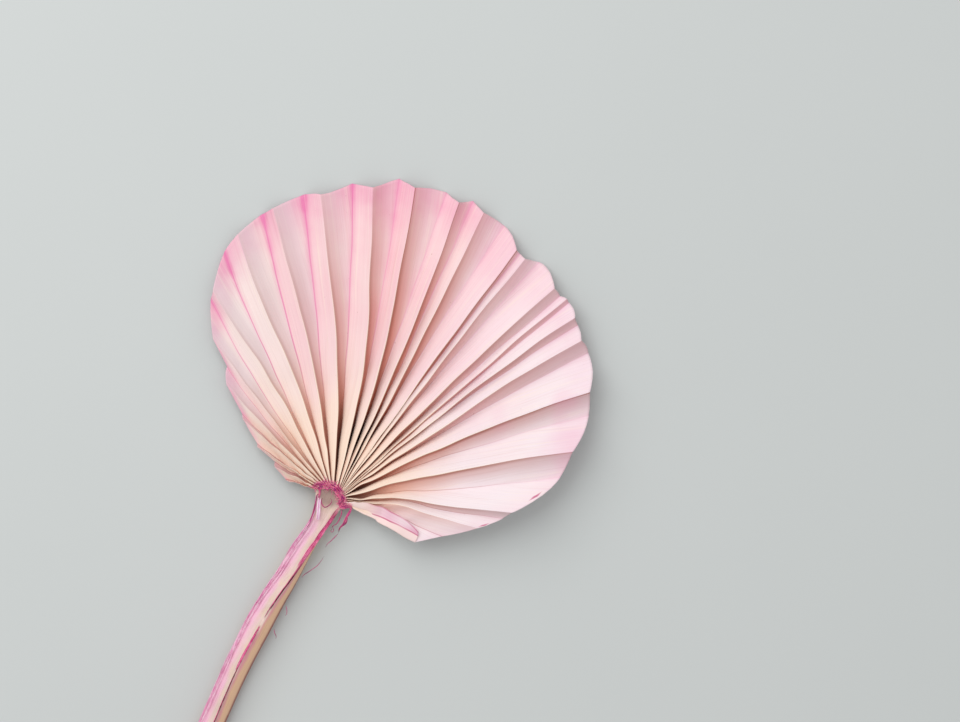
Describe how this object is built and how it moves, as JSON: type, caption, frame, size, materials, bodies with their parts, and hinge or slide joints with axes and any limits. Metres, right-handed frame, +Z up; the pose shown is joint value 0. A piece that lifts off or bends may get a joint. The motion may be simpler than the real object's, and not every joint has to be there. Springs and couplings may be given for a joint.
{
  "type": "fan palm leaf",
  "caption": "Dried fan palm leaf, dyed blush pink and trimmed round: a cupped pleated blade, a fibrous arch at the hub and a cut petiole, lying face up on a surface.",
  "frame": {"origin": "on the surface the leaf lies on, under the middle of its bounding box", "axes": "+Y from the petiole's cut end to the blade's tip, +Z up from the surface, +X to the right seen from above"},
  "size_m": [0.2244, 0.4328, 0.0277],
  "materials": {
    "blade": "matte dried leaf, dyed blush pink with cream folds and deeper pink rim",
    "petiole": "satin dried stalk, grey-beige face and tan flanks",
    "hastula": "matte raw fibre, dyed magenta"
  },
  "bodies": {
    "root": {"blade": "blade", "petiole": "petiole", "hastula": "hastula"}
  },
  "joints": []
}
